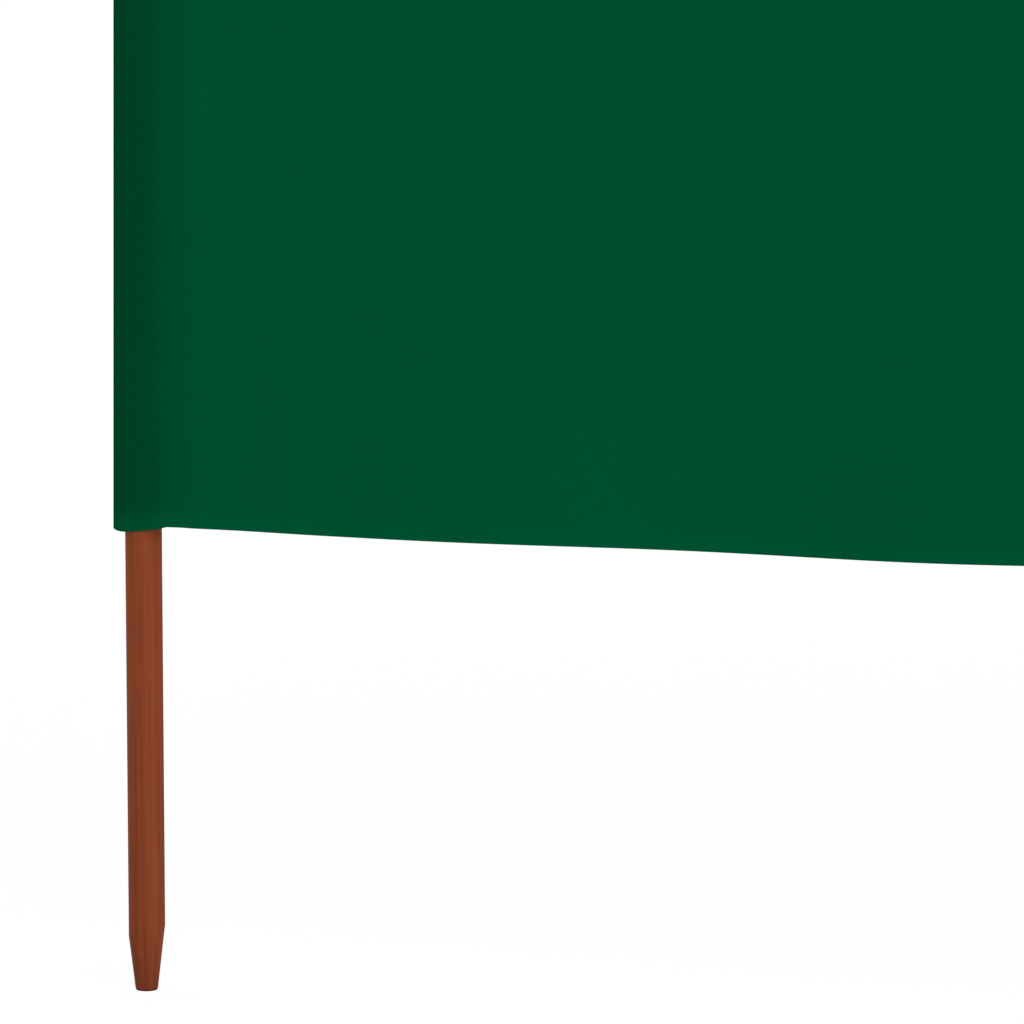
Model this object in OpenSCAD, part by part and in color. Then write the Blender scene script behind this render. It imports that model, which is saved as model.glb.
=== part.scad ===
// Beach windbreak: a strip of cloth in bays that stands in a zigzag on round, pointed wooden poles.
// Each pole runs up through a sleeve sewn into the cloth and sticks out below it, to be pushed into sand.
// The origin is the centre of the middle pole's foot, +Z is up and -Y is the front.

/* [Layout] */
// Number of whole bays between poles
bays = 4; // [2:1:6]
// Distance between the axes of two neighbouring poles
bay_pitch = 1200; // [800:10:1600]
// Angle of each bay to the line of the windbreak
zigzag_angle = 17; // [5:1:35]

/* [Pole] */
// Diameter of a pole
pole_d = 28; // [22:0.5:34]
// Length of a pole from its foot to its top
pole_length = 1200; // [1170:5:1500]
// Diameter of the flat foot at the pointed end
foot_d = 17; // [12:0.5:20]
// Length of the taper at the pointed end
point_length = 46; // [30:1:80]
// Height of the bevel round the rim of the foot
foot_bevel = 1.8; // [0.5:0.1:3]
// How far that bevel draws the rim in
foot_bevel_in = 0.6; // [0.2:0.1:2]
// How far the taper is turned off the pole's axis
point_runout = 0.5; // [0.1:0.1:1]
// Radius of the rounded edge at the top
top_round = 5; // [1:0.5:8]

/* [Cloth] */
// Height of the cloth from its bottom edge to its top edge
cloth_height = 800; // [600:10:835]
// Height of the cloth's bottom edge above the pole's foot
cloth_ground_gap = 357.5; // [200:2.5:395]
// Thickness of one layer of cloth
cloth_thickness = 1.5; // [1:0.1:2.5]
// How far the cloth bellies to the front at the middle of a bay
cloth_bow = 14; // [4:1:40]
// Height of the hem folded to the back along both edges
hem_height = 12; // [8:1:40]

/* [Sleeve] */
// Gap between a pole and the inside of its sleeve
sleeve_clearance = 0.3; // [0.1:0.1:1]
// Distance from a pole's axis to the end of its sleeve's seam
seam_reach = 54; // [40:1:80]
// Width of the seam that closes a sleeve
seam_width = 10; // [3:0.5:12]
// How far the plane of the cloth lies behind the fronts of the poles
front_step = 1.5; // [0.5:0.5:8]
// How far the loop round each end pole is let out past it
end_fold = 5; // [1:0.5:12]

/* [Hidden] */
// Facets of the round parts in the preview: small ones, and the wide arcs of the cloth
$fn = 64;
wide_arc_fn = 3600;
// Overlap that lets a cut run past the faces it trims
cut_margin = 5;

pole_r = pole_d / 2;
poles = bays + 1;
middle_pole = floor(bays / 2) + 1;

// Inside and outside of the cloth loop round a pole
loop_in_r = pole_r + sleeve_clearance;
loop_out_r = loop_in_r + cloth_thickness;
// How far the loop's round stands out past its tail's edges
loop_round_out = 0.1;
// The cloth passes in front of the poles, so the seams lie forward of the line of the pole axes
front_offset = pole_r - front_step;
// Where the two layers of a sleeve meet, along the bay and straight from the pole's axis
seam_start = seam_reach - seam_width;
seam_tilt = atan2(front_offset, seam_start);
tail_in = norm([seam_start, front_offset]);
tail_out = tail_in * loop_out_r / loop_in_r;

// The cloth of one bay runs from seam to seam along an arc in plan
cloth_span = bay_pitch - 2 * seam_reach;
bow_r = (cloth_span * cloth_span / 4 + cloth_bow * cloth_bow) / (2 * cloth_bow);
// The cloth carries on from the front layer of the sleeves, and the hems from the back layer
front_layer = 0.5;
back_layer = -0.5;

// Poles stand in two rows, and the middle pole is in the back row at the origin
function in_front(i) = abs(i - middle_pole) % 2 == 1;
function pole_place(i) = [
    (i - middle_pole) * bay_pitch * cos(zigzag_angle),
    in_front(i) ? -bay_pitch * sin(zigzag_angle) : 0,
    0
];
function bay_angle(i) = in_front(i) ? zigzag_angle : -zigzag_angle;

// Direction in which the cloth of each bay leaves the sleeve of a pole, with the side that the front is on
function bay_tails(i) = concat(
    i > 1 ? [[bay_angle(i - 1) + 180, 1]] : [],
    i < poles ? [[bay_angle(i), -1]] : []
);
// The sleeve's tail to that bay leans forward to the seam
function tail_angle(tail) = tail[0] + tail[1] * seam_tilt;
function is_end(i) = i == 1 || i == poles;

// The hand-turned points don't all run out to the same side
function runout_direction(i) = 180 + (i - 1) * 137.5;

// Puts children in a bay's own frame: its first pole's axis at the origin, its second pole along +X
module in_bay(i) {
    translate(pole_place(i)) rotate([0, 0, bay_angle(i)]) children();
}

// Round shaft with a rounded top
module pole_shaft() {
    rotate_extrude() {
        square([pole_r, pole_length - top_round]);
        square([pole_r - top_round, pole_length]);
        translate([pole_r - top_round, pole_length - top_round])
            intersection() {
                circle(top_round);
                square(top_round);
            }
    }
}

// Everything that the pointing cutter leaves: a cone up from the foot, and then clear of the shaft
module pointing_cutter() {
    foot_r = foot_d / 2;
    clear_r = pole_r + point_runout + cut_margin;
    clear_z = point_length * (clear_r - foot_r) / (pole_r - foot_r);
    bevel_r = foot_r + foot_bevel * (pole_r - foot_r) / point_length;
    rotate_extrude()
        polygon([
            [0, 0],
            [bevel_r - foot_bevel_in, 0],
            [bevel_r, foot_bevel],
            [clear_r, clear_z],
            [clear_r, pole_length + cut_margin],
            [0, pole_length + cut_margin]
        ]);
}

module pole(i) {
    color("#854129")
        translate(pole_place(i))
            intersection() {
                pole_shaft();
                rotate([0, 0, runout_direction(i)])
                    translate([point_runout, 0, 0]) pointing_cutter();
            }
}

// Plan of one side of a sleeve's cloth: a loop round the pole with a tail to each seam.
// The tail's edges run just inside the loop's widest points, so they cut the loop cleanly.
module sleeve_outline(i, loop_r, tail_end) {
    slack = is_end(i) ? end_fold : 0;
    reach = tail_end + slack;
    edge_r = loop_r * reach / tail_end;
    edge_angle = asin(edge_r / reach);
    shoulder = edge_r * [sin(edge_angle), cos(edge_angle)];
    rotate(tail_angle(bay_tails(i)[0]))
        translate([-slack, 0]) circle(edge_r + loop_round_out);
    for (tail = bay_tails(i))
        rotate(tail_angle(tail))
            translate([-slack, 0])
                polygon([[reach, 0], shoulder, [0, 0], [shoulder.x, -shoulder.y]]);
}

// Flat seams in which the two layers of a sleeve lie on each other
module sleeve_seams(i) {
    for (tail = bay_tails(i))
        rotate(tail[0])
            translate([0, tail[1] * front_offset - cloth_thickness])
                square([seam_reach, 2 * cloth_thickness]);
}

module sleeve(i) {
    color("#004c2e")
        translate(pole_place(i) + [0, 0, cloth_ground_gap])
            linear_extrude(cloth_height)
                difference() {
                    union() {
                        sleeve_outline(i, loop_out_r, tail_out);
                        sleeve_seams(i);
                    }
                    sleeve_outline(i, loop_in_r, tail_in);
                }
}

// Plan of one layer of cloth along the bow of a bay; layer counts thicknesses to the front
module bowed_strip(layer) {
    mid_r = bow_r + layer * cloth_thickness;
    intersection() {
        translate([bay_pitch / 2, bow_r - cloth_bow - front_offset])
            difference() {
                circle(mid_r + cloth_thickness / 2, $fn = wide_arc_fn);
                circle(mid_r - cloth_thickness / 2, $fn = wide_arc_fn);
            }
        translate([seam_reach, -cloth_bow - front_offset - cut_margin])
            square([cloth_span, cloth_bow + 2 * cut_margin]);
    }
}

// A bowed layer of cloth from the height low, in the frame of its bay
module cloth_band(i, layer, low, height) {
    color("#004c2e")
        in_bay(i)
            translate([0, 0, low]) linear_extrude(height) bowed_strip(layer);
}

module bay_cloth(i) {
    cloth_band(i, front_layer, cloth_ground_gap, cloth_height);
}

module top_hem(i) {
    cloth_band(i, back_layer, cloth_ground_gap + cloth_height - hem_height, hem_height);
}

module bottom_hem(i) {
    cloth_band(i, back_layer, cloth_ground_gap, hem_height);
}

for (i = [1:poles]) {
    pole(i);
    sleeve(i);
}
for (i = [1:bays]) {
    bay_cloth(i);
    top_hem(i);
    bottom_hem(i);
}
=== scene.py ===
# Beach windbreak: one strip of green cloth in zigzag bays on turned and stained pine poles.
# Metres, +Z up, -Y to the front; the poles and the cloth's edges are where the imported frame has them.
import math

import bmesh
import bpy
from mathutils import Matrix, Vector, noise


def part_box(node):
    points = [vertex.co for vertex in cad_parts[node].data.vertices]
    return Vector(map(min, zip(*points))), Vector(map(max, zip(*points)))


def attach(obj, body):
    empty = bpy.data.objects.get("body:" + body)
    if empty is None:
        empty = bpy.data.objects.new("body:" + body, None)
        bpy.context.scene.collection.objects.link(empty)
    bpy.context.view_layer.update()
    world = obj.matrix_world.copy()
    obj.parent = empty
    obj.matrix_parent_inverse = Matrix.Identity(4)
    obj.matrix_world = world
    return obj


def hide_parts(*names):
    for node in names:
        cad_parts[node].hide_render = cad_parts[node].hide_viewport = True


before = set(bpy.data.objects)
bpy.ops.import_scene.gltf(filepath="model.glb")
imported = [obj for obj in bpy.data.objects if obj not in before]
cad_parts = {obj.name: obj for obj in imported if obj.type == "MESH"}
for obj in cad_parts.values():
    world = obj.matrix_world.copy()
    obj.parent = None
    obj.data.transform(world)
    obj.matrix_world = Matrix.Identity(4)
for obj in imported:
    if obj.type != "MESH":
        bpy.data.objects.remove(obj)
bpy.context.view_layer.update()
bays = sum(name.endswith("_cloth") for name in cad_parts)
poles = bays + 1
clothLow, clothHigh = (corner.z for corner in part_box("sleeve_1"))
clothHeight = clothHigh - clothLow


def poleAxis(i):
    low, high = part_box(f"pole_{i}")
    return ((low + high) / 2).to_2d()


poleSpots = {i: poleAxis(i) for i in range(1, poles + 1)}
poleRadius = (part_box("pole_1")[1].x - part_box("pole_1")[0].x) / 2
bayPitch = (poleSpots[2] - poleSpots[1]).length
print("frame loaded:", len(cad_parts), "nodes,", bays, "bays of", round(bayPitch, 3), "m")


def shareOf(value, span):
    # how far the value is from the span's start to its end, from 0 to 1
    start, end = span
    return min(max((value - start) / (end - start), 0.0), 1.0)


def ramp(value, span):
    share = shareOf(value, span)
    return share * share * (3 - 2 * share)


def bell(value, middle, width):
    return math.exp(-((value - middle) / width) ** 2)


def linear(hexColour):
    channels = [int(hexColour[k:k + 2], 16) / 255 for k in (1, 3, 5)]
    return tuple(c / 12.92 if c <= 0.04045 else ((c + 0.055) / 1.055) ** 2.4 for c in channels) + (1.0,)


def addNode(tree, kind, values=None, links=None, **settings):
    node = tree.nodes.new(kind)
    for name, value in settings.items():
        setattr(node, name, value)
    for socket, value in (values or {}).items():
        node.inputs[socket].default_value = value
    for socket, source in (links or {}).items():
        tree.links.new(source, node.inputs[socket])
    return node


def newMaterial(name):
    material = bpy.data.materials.new(name)
    material.use_nodes = True
    material.node_tree.nodes.clear()
    return material, material.node_tree


# Plain-weave polyester, piece-dyed: matt with no gloss, a fine even weave, a little cloudy in tone
cloth = {
    "colour": "#005132",
    "threadSpacing": 0.0016,   # real threads are about 0.4 mm apart; drawn coarser so that they show
    "weaveDepth": 0.00010,
    "weaveBump": 0.5,
    "weaveTones": (0.975, 1.025),
    "slubSize": 0.0011,
    "slubTones": (0.96, 1.04),
    "cloudSize": 0.09,
    "cloudTones": (0.962, 1.038),
    "roughness": 0.92,
}
weaveMaterial, tree = newMaterial("plainWeavePolyester")
flatCut = addNode(tree, "ShaderNodeUVMap", uv_map="flatCut")
threads = addNode(tree, "ShaderNodeVectorMath", {"Scale": 2 * math.pi / cloth["threadSpacing"]},
                  {0: flatCut.outputs["UV"]}, operation="SCALE")
split = addNode(tree, "ShaderNodeSeparateXYZ", links={0: threads.outputs[0]})
weft = addNode(tree, "ShaderNodeMath", links={0: split.outputs["X"]}, operation="SINE")
warp = addNode(tree, "ShaderNodeMath", links={0: split.outputs["Y"]}, operation="SINE")
weave = addNode(tree, "ShaderNodeMath", links={0: weft.outputs[0], 1: warp.outputs[0]}, operation="MULTIPLY")
coords = addNode(tree, "ShaderNodeTexCoord")
clouds = addNode(tree, "ShaderNodeTexNoise",
                 {"Scale": 1 / cloth["cloudSize"], "Detail": 4.0, "Roughness": 0.6},
                 {"Vector": coords.outputs["Object"]})
slubs = addNode(tree, "ShaderNodeTexNoise", {"Scale": 1 / cloth["slubSize"], "Detail": 2.0},
                {"Vector": coords.outputs["Object"]})
# painted shade and painted light from the sheets: darker over poles and doubled cloth, lighter at the hems,
# seams and sleeve mouths
layers = addNode(tree, "ShaderNodeAttribute", attribute_name="paintedLight")
tone = layers.outputs["Fac"]
for pattern, lowest, (dark, light) in (
        (clouds.outputs["Fac"], 0.0, cloth["cloudTones"]),
        (weave.outputs[0], -1.0, cloth["weaveTones"]),
        (slubs.outputs["Fac"], 0.0, cloth["slubTones"])):
    factor = addNode(tree, "ShaderNodeMapRange", {"From Min": lowest, "To Min": dark, "To Max": light},
                     {"Value": pattern})
    product = addNode(tree, "ShaderNodeMath", links={0: tone, 1: factor.outputs[0]}, operation="MULTIPLY")
    tone = product.outputs[0]
dyed = addNode(tree, "ShaderNodeVectorMath", {0: linear(cloth["colour"])[:3]}, {"Scale": tone},
               operation="SCALE")
bump = addNode(tree, "ShaderNodeBump", {"Strength": cloth["weaveBump"], "Distance": cloth["weaveDepth"]},
               {"Height": weave.outputs[0]})
surface = addNode(tree, "ShaderNodeBsdfPrincipled",
                  {"Roughness": cloth["roughness"], "Specular IOR Level": 0.0, "IOR": 1.5},
                  {"Base Color": dyed.outputs[0], "Normal": bump.outputs[0]})
addNode(tree, "ShaderNodeOutputMaterial", links={"Surface": surface.outputs[0]})

# Spun polyester sewing thread, dyed to match: a shade lighter than the cloth under it and nearly as matt
thread = {"colour": "#005434", "plySize": 0.0007, "plyTones": (0.8, 1.2), "roughness": 0.7, "specular": 0.02}
threadMaterial, tree = newMaterial("spunPolyesterThread")
coords = addNode(tree, "ShaderNodeTexCoord")
plies = addNode(tree, "ShaderNodeTexNoise", {"Scale": 1 / thread["plySize"]},
                {"Vector": coords.outputs["Object"]})
plyTone = addNode(tree, "ShaderNodeMapRange",
                  {"To Min": thread["plyTones"][0], "To Max": thread["plyTones"][1]},
                  {"Value": plies.outputs["Fac"]})
# the stitches take the painted shade and painted light of the cloth under them
layers = addNode(tree, "ShaderNodeAttribute", attribute_name="paintedLight")
tone = addNode(tree, "ShaderNodeMath", links={0: plyTone.outputs[0], 1: layers.outputs["Fac"]},
               operation="MULTIPLY")
dyed = addNode(tree, "ShaderNodeVectorMath", {0: linear(thread["colour"])[:3]}, {"Scale": tone.outputs[0]},
               operation="SCALE")
surface = addNode(tree, "ShaderNodeBsdfPrincipled",
                  {"Roughness": thread["roughness"], "Specular IOR Level": thread["specular"]},
                  {"Base Color": dyed.outputs[0]})
addNode(tree, "ShaderNodeOutputMaterial", links={"Surface": surface.outputs[0]})

# Pine dowel, turned and dipped in a red-brown stain: long grain streaks, hardly any sheen, a darker cut point
wood = {
    "light": "#914929",
    "dark": "#77361F",
    "streakWidth": 0.006,
    "streakLength": 0.6,
    "streakShift": (96.1, -58.9, 21.7),   # in streaks; brings a light streak to the front of the first pole
    "streakRange": (0.3, 0.7),
    "fibre": "#5A2A18",
    "fibreWidth": 0.0009,
    "fibreLength": 0.06,
    "fibreRange": (0.52, 0.75),
    "fibreShare": 0.45,
    "fibreDepth": 0.0002,
    "fibreBump": 0.3,
    "paintedTopLightTo": (0.05, 0.34),    # painted light: lighter towards the top against the cloth's shadow there, darker towards the foot; tones below and above these heights
    "paintedTopLightTones": (0.97, 1.05),
    "pointHeight": 0.06,
    # share of that height and tone there: a dark band at the bevel, a thin lighter line above it, darker
    # towards the point, then the shaft
    "pointTones": ((0.026, 0.50), (0.034, 1.02), (0.060, 0.79), (0.45, 0.88), (0.85, 1.0)),
    "roughness": 0.55,
    "specular": 0.05,
}
pineMaterial, tree = newMaterial("stainedPine")
coords = addNode(tree, "ShaderNodeTexCoord")
streakSpace = addNode(tree, "ShaderNodeMapping",
                      {"Scale": (1 / wood["streakWidth"], 1 / wood["streakWidth"], 1 / wood["streakLength"]),
                       "Location": wood["streakShift"]},
                      {"Vector": coords.outputs["Object"]})
streaks = addNode(tree, "ShaderNodeTexNoise",
                  {"Scale": 1.0, "Detail": 3.0, "Roughness": 0.55, "Distortion": 0.3},
                  {"Vector": streakSpace.outputs[0]})
fibreSpace = addNode(tree, "ShaderNodeMapping",
                     {"Scale": (1 / wood["fibreWidth"], 1 / wood["fibreWidth"], 1 / wood["fibreLength"])},
                     {"Vector": coords.outputs["Object"]})
fibres = addNode(tree, "ShaderNodeTexNoise", {"Scale": 1.0, "Detail": 3.0, "Roughness": 0.6},
                 {"Vector": fibreSpace.outputs[0]})
streakTone = addNode(tree, "ShaderNodeMapRange",
                     {"From Min": wood["streakRange"][0], "From Max": wood["streakRange"][1]},
                     {"Value": streaks.outputs["Fac"]})
fibreTone = addNode(tree, "ShaderNodeMapRange",
                    {"From Min": wood["fibreRange"][0], "From Max": wood["fibreRange"][1],
                     "To Max": wood["fibreShare"]},
                    {"Value": fibres.outputs["Fac"]})
# a Mix node's colours are its inputs 6 and 7 and its output 2
grain = addNode(tree, "ShaderNodeMix", {6: linear(wood["dark"]), 7: linear(wood["light"])},
                {0: streakTone.outputs[0]}, data_type="RGBA")
stained = addNode(tree, "ShaderNodeMix", {7: linear(wood["fibre"])},
                  {0: fibreTone.outputs[0], 6: grain.outputs[2]}, data_type="RGBA")
split = addNode(tree, "ShaderNodeSeparateXYZ", links={0: coords.outputs["Object"]})
# painted light: the pole's colour is lighter towards its top and darker towards its foot
paintedTopLight = addNode(tree, "ShaderNodeMapRange",
               {"From Min": wood["paintedTopLightTo"][0], "From Max": wood["paintedTopLightTo"][1],
                "To Min": wood["paintedTopLightTones"][0], "To Max": wood["paintedTopLightTones"][1]},
               {"Value": split.outputs["Z"]})
paintedTopLightColour = addNode(tree, "ShaderNodeVectorMath", links={0: stained.outputs[2], "Scale": paintedTopLight.outputs[0]},
                 operation="SCALE")
rise = addNode(tree, "ShaderNodeMapRange", {"From Max": wood["pointHeight"]}, {"Value": split.outputs["Z"]})
pointTone = addNode(tree, "ShaderNodeValToRGB", links={"Fac": rise.outputs[0]})
stops = pointTone.color_ramp.elements
for position, grey in wood["pointTones"]:
    stops.new(position).color = (grey, grey, grey, 1)
# the two stops that the ramp came with, at its ends
stops.remove(stops[len(stops) - 1])
stops.remove(stops[0])
pointToned = addNode(tree, "ShaderNodeVectorMath", links={0: paintedTopLightColour.outputs[0], 1: pointTone.outputs["Color"]},
                 operation="MULTIPLY")
bump = addNode(tree, "ShaderNodeBump", {"Strength": wood["fibreBump"], "Distance": wood["fibreDepth"]},
               {"Height": fibres.outputs["Fac"]})
surface = addNode(tree, "ShaderNodeBsdfPrincipled",
                  {"Roughness": wood["roughness"], "Specular IOR Level": wood["specular"], "IOR": 1.5},
                  {"Base Color": pointToned.outputs[0], "Normal": bump.outputs[0]})
addNode(tree, "ShaderNodeOutputMaterial", links={"Surface": surface.outputs[0]})
print("materials ready")


def bayDirection(bay):
    return (poleSpots[bay + 1] - poleSpots[bay]).normalized()


def frontOf(direction):
    return Vector((direction.y, -direction.x))


def bayWays(i):
    # which way the cloth leaves a pole into each bay, which way the front is there, and the bay
    ways = []
    if i > 1:
        ways.append((-bayDirection(i - 1), frontOf(bayDirection(i - 1)), i - 1))
    if i < poles:
        ways.append((bayDirection(i), frontOf(bayDirection(i)), i))
    return ways


poleWays = {i: bayWays(i) for i in range(1, poles + 1)}

# Sleeves in plan: the cloth lies in the front half of the CAD layer, so that the folded hem fits behind it
sleeve = {
    "clearance": 0.0003,       # between the pole and the inside of the CAD sleeve
    "layer": 0.00115,          # from there to the middle of the cloth
    "frontStep": 0.0015,       # the seams lie this far behind the fronts of the poles
    "seamStart": 0.044,        # the seam's start and end, from the pole's axis
    "lapEnd": 0.054,
    "endLetOut": 0.0031,
    "bow": 0.014,
    "arcSteps": 36,
    "loopSteps": 60,
    "bowSteps": 60,
}
insideRadius = poleRadius + sleeve["clearance"]
clothRadius = insideRadius + sleeve["layer"]
seamForward = poleRadius - sleeve["frontStep"]
# how far a sleeve leans forward to its seam, and half the angle between its two layers
wayLean = math.atan2(seamForward, sleeve["seamStart"])
wayHalf = math.asin(insideRadius / math.hypot(seamForward, sleeve["seamStart"]))


def arcPoints(centre, radius, start, sweep, steps):
    angles = [start + sweep * k / steps for k in range(steps + 1)]
    return [centre + radius * Vector((math.cos(a), math.sin(a))) for a in angles]


def leaning(way, front):
    # the directions along and across a sleeve that leans forward to its seam
    along = way * math.cos(wayLean) + front * math.sin(wayLean)
    return along, front * math.cos(wayLean) - way * math.sin(wayLean)


def lapPlan(i, way, front, side):
    # one layer of the sewn lap beside a pole, towards the pole; side 1 is the front layer
    forward = seamForward + side * sleeve["layer"]
    return [poleSpots[i] + way * sleeve[key] + front * forward for key in ("lapEnd", "seamStart")]


def endSleevePlan(i):
    way, front = poleWays[i][0][:2]
    along, across = leaning(way, front)
    letOut = sleeve["endLetOut"]
    radius = clothRadius + letOut * math.sin(wayHalf)
    loop = arcPoints(Vector((-letOut, 0)), radius, wayHalf - math.pi / 2, -math.pi - 2 * wayHalf,
                     sleeve["loopSteps"])
    loop = [poleSpots[i] + along * p.x + across * p.y for p in loop]
    return lapPlan(i, way, front, -1) + loop + lapPlan(i, way, front, 1)[::-1]


def sleeveSidePlan(i, side):
    # side 1 passes in front of an inner pole, side -1 behind it
    inward, outward = (way[:2] for way in poleWays[i])
    start, end = (along * math.sin(wayHalf) + across * side * math.cos(wayHalf)
                  for along, across in (leaning(*inward), leaning(*outward)))
    turn = math.atan2(start.x * end.y - start.y * end.x, start.dot(end))
    if turn * side > 0:
        middle = arcPoints(poleSpots[i], clothRadius, math.atan2(start.y, start.x), turn, sleeve["arcSteps"])
    else:
        middle = [poleSpots[i] + (start + end).normalized() * clothRadius / math.cos(turn / 2)]
    return lapPlan(i, *inward, side) + middle + lapPlan(i, *outward, side)[::-1]


def bayPlan(bay):
    start = poleSpots[bay] + bayDirection(bay) * sleeve["lapEnd"]
    end = poleSpots[bay + 1] - bayDirection(bay) * sleeve["lapEnd"]
    plan = []
    for k in range(1, sleeve["bowSteps"]):
        t = k / sleeve["bowSteps"]
        forward = seamForward + sleeve["layer"] + 4 * sleeve["bow"] * t * (1 - t)
        plan.append(start.lerp(end, t) + frontOf(bayDirection(bay)) * forward)
    return plan


pathStep = 0.001


def evenPath(corners, passes=8):
    # points pathStep apart along the corners, then rounded off by a few passes of averaging
    points, carry = [corners[0]], 0.0
    for a, b in zip(corners, corners[1:]):
        run = (b - a).length
        at = pathStep - carry
        while at <= run:
            points.append(a.lerp(b, at / run))
            at += pathStep
        carry = run - (at - pathStep)
    points.append(corners[-1])
    for n in range(passes):
        inner = [(p + 2 * q + r) / 4 for p, q, r in zip(points, points[1:], points[2:])]
        points = [points[0]] + inner + [points[-1]]
    return points


def placeAt(point, normal):
    # where a point of the plan is: its pole and bay, its reach from the pole and its way along the bay
    i = min(poleSpots, key=lambda k: (poleSpots[k] - point).length)
    way, front, bay = max(poleWays[i], key=lambda one: (point - poleSpots[i]).dot(one[0]))
    reach = (point - poleSpots[i]).dot(way)
    return {
        "point": point, "normal": normal, "pole": i, "way": way, "bay": bay, "reach": reach,
        "along": reach if bay == i else bayPitch - reach,
        "atBack": normal.dot(front) < 0,
    }


def placeOn(path, s):
    k = min(max(int(s / pathStep), 0), len(path) - 2)
    ahead = path[min(k + 2, len(path) - 1)] - path[max(k - 1, 0)]
    return placeAt(path[k].lerp(path[k + 1], s / pathStep - k), frontOf(ahead.normalized()))


# How the cloth hangs: its edges ripple and wave, the seams take the hems up, and the hems curl forward.
# A pair of numbers is where a change starts and ends, mostly by reach from the pole into the bay.
drape = {
    "mouthDip": 0.0016,        # the outer side of a sleeve's mouth hangs down, and slants up to the seam
    "mouthRise": 0.55,         # share of the dip that is lost out past the pole
    "mouthRiseOut": (0.008, 0.018),
    "mouthSlant": 0.0030,
    "mouthSlantAt": (-0.006, 0.0185),
    "mouthLetOut": 0.0041,     # the mouths of the end sleeves are let out a little more
    "mouthLetOutAt": (-0.0028, 0.0112),
    "mouthHeight": 0.41,
    "seamLift": 0.0019,
    "seamLiftAt": (0.0165, 0.0255),
    "seamSag": 0.0004,         # past the sleeve, and by as much again on into the bay
    "seamSagAt": ((0.034, 0.048), (0.070, 0.240)),
    "seamRidge": 0.0004,
    "seamRidgeAt": 0.0528,
    "seamRidgeWidth": 0.001875,
    "lapPinch": 0.0015,        # the sewn lap draws the back layer to the front one, between the hems
    "lapPinchAt": (0.0435, 0.0475),
    "lapPinchAbove": (0.0125, 0.0205),
    "hemWave": 0.0014,
    "hemWaveLength": 0.40,
    "hemWaveStart": 0.165,
    "hemWaveAt": (0.060, 0.160),
    "hemWaveTurn": 1.7,        # radians that the wave shifts by from bay to bay
    "ripple": 0.0045,
    "rippleLength": 0.335,
    "rippleTurn": 2.1,
    "rippleFade": 0.16,
    "swell": 0.0035,
    "swellsPerMetre": (2.4, 2.0),   # in plan and upwards
    "freeAt": (0.060, 0.170),
    "fold": 0.0050,            # a soft fold beside each pole, low on the cloth
    "foldRiseAt": (0.078, 0.140),
    "foldFallAt": (0.15, 0.50),
    "foldHeight": 0.20,
    "foldVary": 0.4,           # share of the fold that differs from pole to pole
    "foldTurn": 1.3,
    "foldLift": 0.13,
    "curl": 0.0014,
    "curlHeight": 0.013,
    "curlAt": (-0.004, 0.026),
    "backCurlAt": (0.026, 0.040),
}


def edgeOf(height):
    return min(height, clothHeight - height)


def foldAt(place):
    side = place["pole"] + place["bay"] - 2
    vary = drape["foldVary"] * (math.cos(drape["foldTurn"] * side) - 1)
    rise = ramp(place["reach"], drape["foldRiseAt"]) * (1 - ramp(place["reach"], drape["foldFallAt"]))
    return drape["fold"] * rise * (1 + vary)


def edgeLift(place):
    reach = place["reach"]
    dip = drape["mouthDip"] * (1 - drape["mouthRise"] * ramp(-reach, drape["mouthRiseOut"]))
    slant = drape["mouthSlant"] * shareOf(reach, drape["mouthSlantAt"])
    seam = drape["seamLift"] * ramp(reach, drape["seamLiftAt"])
    sag = drape["seamSag"] * sum(ramp(reach, span) for span in drape["seamSagAt"])
    turn = 2 * math.pi * (place["along"] - drape["hemWaveStart"]) / drape["hemWaveLength"]
    wave = (1 + math.cos(turn + drape["hemWaveTurn"] * (place["bay"] - 1))) / 2
    wave *= drape["hemWave"] * ramp(reach, drape["hemWaveAt"])
    return slant + seam - sag - dip - wave + drape["foldLift"] * foldAt(place)


def drapeOffset(place, height):
    reach, point, edge = place["reach"], place["point"], edgeOf(height)
    turn = 2 * math.pi * place["along"] / drape["rippleLength"] + drape["rippleTurn"] * place["bay"]
    ripple = drape["ripple"] * math.exp(-edge / drape["rippleFade"]) * math.sin(turn)
    inPlan, upwards = drape["swellsPerMetre"]
    swell = drape["swell"] * noise.noise(Vector((point.x * inPlan, point.y * inPlan, height * upwards)))
    fold = foldAt(place) * bell(height, 0.0, drape["foldHeight"])
    curl = drape["curl"] * max(0.0, 1 - edge / drape["curlHeight"]) ** 2 * ramp(reach, drape["curlAt"])
    ridge = drape["seamRidge"] * bell(reach, drape["seamRidgeAt"], drape["seamRidgeWidth"])
    pinch = 0.0
    if place["atBack"]:
        pinch = drape["lapPinch"] * ramp(reach, drape["lapPinchAt"]) * ramp(edge, drape["lapPinchAbove"])
        curl *= 1 - ramp(reach, drape["backCurlAt"])
    return ramp(reach, drape["freeAt"]) * (ripple + swell) + fold + curl + ridge - pinch


def mouthLetOut(reach, height):
    nearMouth = max(0.0, 1 - edgeOf(height) / drape["mouthHeight"])
    return drape["mouthLetOut"] * nearMouth * ramp(-reach, drape["mouthLetOutAt"])


def hang(place, height, out=0.0):
    # where the cloth hangs at a place of the plan, a height above its lower edge and this far out from it
    spot = place["point"] + place["normal"] * (drapeOffset(place, height) + out)
    if place["pole"] in (1, poles):
        spot -= place["way"] * mouthLetOut(place["reach"], height)
    lift = edgeLift(place) * (1 - 2 * height / clothHeight)
    return Vector((spot.x, spot.y, clothLow + height + lift))


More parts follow.
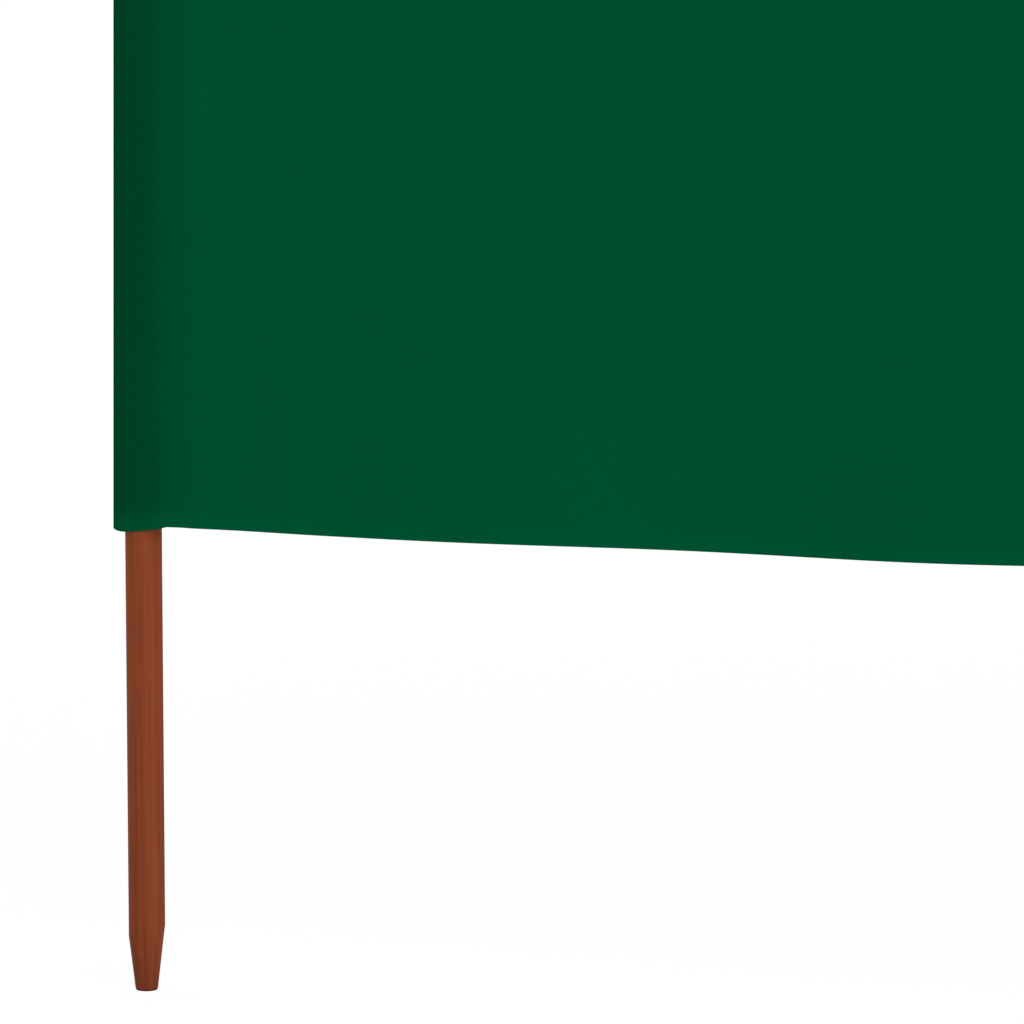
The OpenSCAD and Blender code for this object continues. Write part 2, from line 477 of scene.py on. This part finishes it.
# Painted shade where a pole or a second layer behind the cloth would keep the light from coming through, and
# painted light off the pole, in the sleeves' mouths, along the hems and the seams
paintedLight = {
    "overPole": 0.675,
    "overPoleTo": (0.009, 0.027),
    "doubled": 0.85,
    "doubledTo": (0.032, 0.053),
    "outerFold": 0.13,         # painted light where the loop stands off the pole
    "outerFoldAt": (0.006, 0.013),
    "mouth": 0.62,             # share of the painted shade that painted light in a sleeve's mouth takes away
    "mouthTo": (0.0, 0.024),
    # painted highlight: a lighter band along each hem
    "hem": 1.05,
    "hemTo": (0.010, 0.014),
    # painted highlight: a faint lighter line along each seam
    "seam": 1.010,
    "seamAt": 0.0535,
    "seamWidth": 0.004,
}


# painted shade and painted light for the cloth's colour at a place and height: darker over a pole and a
# second layer, lighter off the pole, in a mouth, at the hems and along the seams
def paintedLightAt(place, height):
    reach, edge = place["reach"], edgeOf(height)
    doubled = (1 - paintedLight["doubled"]) * (1 - ramp(reach, paintedLight["doubledTo"]))
    overPole = (paintedLight["doubled"] - paintedLight["overPole"]) * (1 - ramp(reach, paintedLight["overPoleTo"]))
    outerFold = paintedLight["outerFold"] * ramp(-reach, paintedLight["outerFoldAt"])
    inMouth = paintedLight["mouth"] * (1 - ramp(edge, paintedLight["mouthTo"]))
    shade = (doubled + overPole - outerFold) * (1 - inMouth)
    # painted highlight along the hems
    hemLight = (paintedLight["hem"] - 1) * (1 - ramp(edge, paintedLight["hemTo"]))
    # painted highlight along the seams
    seamLight = (paintedLight["seam"] - 1) * bell(reach, paintedLight["seamAt"], paintedLight["seamWidth"])
    return 1 - shade + hemLight + seamLight


# The sheets: hems folded to the back, rows closer together at the edges and columns at the poles
hem = {
    "gap": 0.00075,
    # height and share of the gap behind the front, down the folded part and round the turn
    "turn": ((0.0115, 1.0), (0.0075, 1.0), (0.0030, 1.0), (0.0008, 0.93), (0.0001, 0.65), (0.0, 0.32),
             (0.0007, 0.03)),
    "rowsUp": (0.0025, 0.005, 0.008, 0.0105, 0.0125, 0.016, 0.021, 0.028, 0.038, 0.05, 0.065, 0.083, 0.104,
               0.128, 0.155, 0.185, 0.22, 0.26, 0.30, 0.345),
}
sheet = {
    "thickness": 0.0005,
    "fine": 0.0025,
    "coarse": 0.016,
    "fineTo": 0.075,           # columns are fine up to this distance from a pole
    "growth": 0.12,
}


def hemRows():
    # heights along the sheet, with the share of the hem's gap that each lies behind the front
    low = list(hem["turn"]) + [(z, 0.0) for z in hem["rowsUp"]]
    return low + [(clothHeight / 2, 0.0)] + [(clothHeight - z, inward) for z, inward in reversed(low)]


def stationsOf(path):
    # distances along the path at which a sheet has its columns
    stations, s, total = [0.0], 0.0, (len(path) - 1) * pathStep
    while s < total - sheet["fine"]:
        point = path[min(int(s / pathStep), len(path) - 1)]
        away = min((point - spot).length for spot in poleSpots.values()) - sheet["fineTo"]
        step = sheet["fine"] + max(0.0, sheet["growth"] * away)
        s = min(s + min(step, sheet["coarse"]), total)
        stations.append(s)
    stations[-1] = total
    return stations


def newPiece(name, bm, material):
    mesh = bpy.data.meshes.new(name)
    bm.to_mesh(mesh)
    bm.free()
    mesh.materials.append(material)
    piece = bpy.data.objects.new(name, mesh)
    bpy.context.scene.collection.objects.link(piece)
    return piece


def sewnSheet(name, path):
    stations, rows = stationsOf(path), hemRows()
    places = [placeOn(path, s) for s in stations]
    cut = [0.0]
    for (z, inward), (lastZ, lastInward) in zip(rows[1:], rows):
        cut.append(cut[-1] + math.hypot(z - lastZ, (inward - lastInward) * hem["gap"]))
    bm = bmesh.new()
    bmesh.ops.create_grid(bm, x_segments=len(stations) - 1, y_segments=len(rows) - 1, size=1.0)
    uv = bm.loops.layers.uv.new("flatCut")
    paintedLightLayer = bm.verts.layers.float.new("paintedLight")
    flat = {}
    for vert in bm.verts:
        column = round((vert.co.x + 1) / 2 * (len(stations) - 1))
        row = round((vert.co.y + 1) / 2 * (len(rows) - 1))
        height, inward = rows[row]
        vert.co = hang(places[column], height, -inward * hem["gap"])
        # each vertex keeps the painted shade and painted light of its place
        vert[paintedLightLayer] = paintedLightAt(places[column], height)
        flat[vert] = (stations[column], cut[row])
    for face in bm.faces:
        face.smooth = True
        for loop in face.loops:
            loop[uv].uv = flat[loop.vert]
    bmesh.ops.recalc_face_normals(bm, faces=bm.faces)
    piece = newPiece(name, bm, weaveMaterial)
    body = piece.modifiers.new("clothThickness", "SOLIDIFY")
    body.thickness = sheet["thickness"]
    body.offset = 0.0
    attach(piece, "root")
    print(name, len(stations), "x", len(rows), "cut", round(stations[-1], 3), "x", round(cut[-1], 3))
    return piece, (round(cut[-1], 4), round(stations[-1], 4))


corners = endSleevePlan(1)
for bay in range(1, bays + 1):
    corners += bayPlan(bay)
    corners += sleeveSidePlan(bay + 1, 1) if bay < bays else endSleevePlan(poles)[::-1]
mainPath = evenPath(corners)
mainCloth, mainCut = sewnSheet("mainCloth", mainPath)
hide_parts("sleeve_1", f"sleeve_{poles}")
for bay in range(1, bays + 1):
    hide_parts(f"bay_{bay}_cloth", f"bay_{bay}_top_hem", f"bay_{bay}_bottom_hem")
for i in range(2, poles):
    strip, stripCut = sewnSheet(f"sleeveStrip_{i}", evenPath(sleeveSidePlan(i, -1)[::-1]))
    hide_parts(f"sleeve_{i}")

# Lockstitch rows: one along each hem, two along each seam, on both faces of the cloth
stitching = {
    "length": 0.0034,
    "pitch": 0.0044,
    "thick": 0.00045,
    "hemAt": 0.0104,
    "seamAt": (0.0470, 0.0522),
}
stitchOut = sheet["thickness"] / 2   # so that a stitch sits on the face of the cloth
stitchHalf = stitching["length"] / 2


def hemStitches(path):
    # each stitch has its two ends, the way out of the cloth, and the cloth's painted shade and painted light
    # there
    frames = []
    for k in range(int((len(path) - 1) * pathStep / stitching["pitch"])):
        s = (k + 0.5) * stitching["pitch"]
        first, last = placeOn(path, s - stitchHalf), placeOn(path, s + stitchHalf)
        outs = [stitchOut]
        if first["reach"] > sleeve["lapEnd"]:
            outs.append(-hem["gap"] - stitchOut)
        for height in (stitching["hemAt"], clothHeight - stitching["hemAt"]):
            for out in outs:
                ends = hang(first, height, out), hang(last, height, out)
                frames.append((*ends, first["normal"], paintedLightAt(first, height)))
    return frames


def seamStitches():
    frames = []
    rows = [(i, way, front, reach, side) for i in poleWays for way, front, _ in poleWays[i]
            for reach in stitching["seamAt"] for side in (1, -1)]
    for i, way, front, reach, side in rows:
        forward = seamForward + side * sleeve["layer"]
        place = placeAt(poleSpots[i] + way * reach + front * forward, front * side)
        for k in range(int(clothHeight / stitching["pitch"])):
            height = (k + 0.5) * stitching["pitch"]
            ends = [hang(place, height + shift, stitchOut) for shift in (-stitchHalf, stitchHalf)]
            # with the cloth's painted shade and painted light at the stitch
            frames.append((*ends, place["normal"], paintedLightAt(place, height)))
    return frames


def sewStitches(name, frames):
    bm = bmesh.new()
    bmesh.ops.create_icosphere(bm, subdivisions=1, radius=1.0)
    one = bpy.data.meshes.new("oneStitch")
    bm.to_mesh(one)
    vertsEach = len(bm.verts)
    for k in range(len(frames) - 1):
        bm.from_mesh(one)
    bpy.data.meshes.remove(one)
    # painted shade and painted light of the cloth under each stitch
    paintedLightLayer = bm.verts.layers.float.new("paintedLight")
    thick = stitching["thick"] / 2
    for k, vert in enumerate(bm.verts):
        start, end, normal, vert[paintedLightLayer] = frames[k // vertsEach]
        out = normal.to_3d()
        across = out.cross(end - start).normalized()
        spot = (start + end) / 2 + (end - start) / 2 * vert.co.z
        vert.co = spot + across * thick * vert.co.x + out * thick * vert.co.y
    for face in bm.faces:
        face.smooth = True
    piece = newPiece(name, bm, threadMaterial)
    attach(piece, "root")
    print(name, len(frames), "stitches")
    return piece


hemStitching = sewStitches("hemStitching", hemStitches(mainPath))
seamStitching = sewStitches("seamStitching", seamStitches())

for i in poleSpots:
    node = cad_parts[f"pole_{i}"]
    node.data.materials.clear()
    node.data.materials.append(pineMaterial)
print("cloth, stitching and poles ready")

# White studio: the camera sees the floor white, and a little of the shadow stays
studio = {
    "floorSize": 120.0,
    "floorColour": "#F8F8F8",
    "shadowShare": 0.10,
    "litFloor": 0.70,          # what the matt floor gives back under these lights
    "ambient": 0.44,
    "key": {"strength": 1.62, "azimuth": 26.0, "elevation": 22.0, "softness": 60.0},
    "back": {"strength": 0.90, "azimuth": 200.0, "elevation": 40.0, "softness": 90.0},
}
floorMaterial, tree = newMaterial("whiteStudioFloor")
rays = addNode(tree, "ShaderNodeLightPath")
seen = rays.outputs["Is Camera Ray"]
for other in ("Is Glossy Ray", "Is Transmission Ray"):
    either = addNode(tree, "ShaderNodeMath", links={0: seen, 1: rays.outputs[other]}, operation="MAXIMUM")
    seen = either.outputs[0]
mattShare = addNode(tree, "ShaderNodeMath", {1: studio["shadowShare"] - 1, 2: 1.0}, {0: seen},
                    operation="MULTIPLY_ADD")
paint = addNode(tree, "ShaderNodeVectorMath", {0: linear(studio["floorColour"])[:3]},
                {"Scale": mattShare.outputs[0]}, operation="SCALE")
matt = addNode(tree, "ShaderNodeBsdfDiffuse", links={"Color": paint.outputs[0]})
glow = addNode(tree, "ShaderNodeMath", {1: 1 - studio["shadowShare"] * studio["litFloor"]}, {0: seen},
               operation="MULTIPLY")
white = addNode(tree, "ShaderNodeEmission", {"Color": (1, 1, 1, 1)}, {"Strength": glow.outputs[0]})
both = addNode(tree, "ShaderNodeAddShader", links={0: matt.outputs[0], 1: white.outputs[0]})
addNode(tree, "ShaderNodeOutputMaterial", links={"Surface": both.outputs[0]})
bm = bmesh.new()
bmesh.ops.create_grid(bm, x_segments=1, y_segments=1, size=studio["floorSize"] / 2)
floor = newPiece("studioFloor", bm, floorMaterial)

world = bpy.data.worlds.new("studioRoom")
world.use_nodes = True
world.node_tree.nodes.clear()
tree = world.node_tree
rays = addNode(tree, "ShaderNodeLightPath")
room = addNode(tree, "ShaderNodeBackground", {"Color": (1, 1, 1, 1), "Strength": studio["ambient"]})
backdrop = addNode(tree, "ShaderNodeBackground", {"Color": (1, 1, 1, 1), "Strength": 1.0})
both = addNode(tree, "ShaderNodeMixShader",
               links={0: rays.outputs["Is Camera Ray"], 1: room.outputs[0], 2: backdrop.outputs[0]})
addNode(tree, "ShaderNodeOutputWorld", links={"Surface": both.outputs[0]})
bpy.context.scene.world = world


def addSun(name, strength, azimuth, elevation, softness):
    lamp = bpy.data.lights.new(name, "SUN")
    lamp.energy = strength
    lamp.angle = math.radians(softness)
    sun = bpy.data.objects.new(name, lamp)
    a, e = math.radians(azimuth), math.radians(elevation)
    towards = Vector((math.sin(a) * math.cos(e), -math.cos(a) * math.cos(e), math.sin(e)))
    sun.rotation_mode = "QUATERNION"
    sun.rotation_quaternion = towards.to_track_quat("Z", "Y")
    bpy.context.scene.collection.objects.link(sun)


addSun("keySoftbox", **studio["key"])
addSun("backFill", **studio["back"])

# Long lens in front of the end pole and a little to its right, level with the cloth and looking slightly down
shot = {
    "lens": 186.6,             # millimetres, as the sensor's width is
    "sensor": 36.0,
    "right": 0.2800,
    "distance": 4.0,
    "height": 0.872,
    "pitch": 7.162,
    "farEnd": 200.0,
}
lens = bpy.data.cameras.new("photoCamera")
lens.lens = shot["lens"]
lens.sensor_width = shot["sensor"]
lens.clip_end = shot["farEnd"]
camera = bpy.data.objects.new("photoCamera", lens)
camera.location = (poleSpots[1].x + shot["right"], poleSpots[1].y - shot["distance"], shot["height"])
camera.rotation_euler = (math.radians(90 - shot["pitch"]), 0, 0)
bpy.context.scene.collection.objects.link(camera)
bpy.context.scene.camera = camera
bpy.context.scene.view_settings.view_transform = "Standard"
print("studio and camera ready")
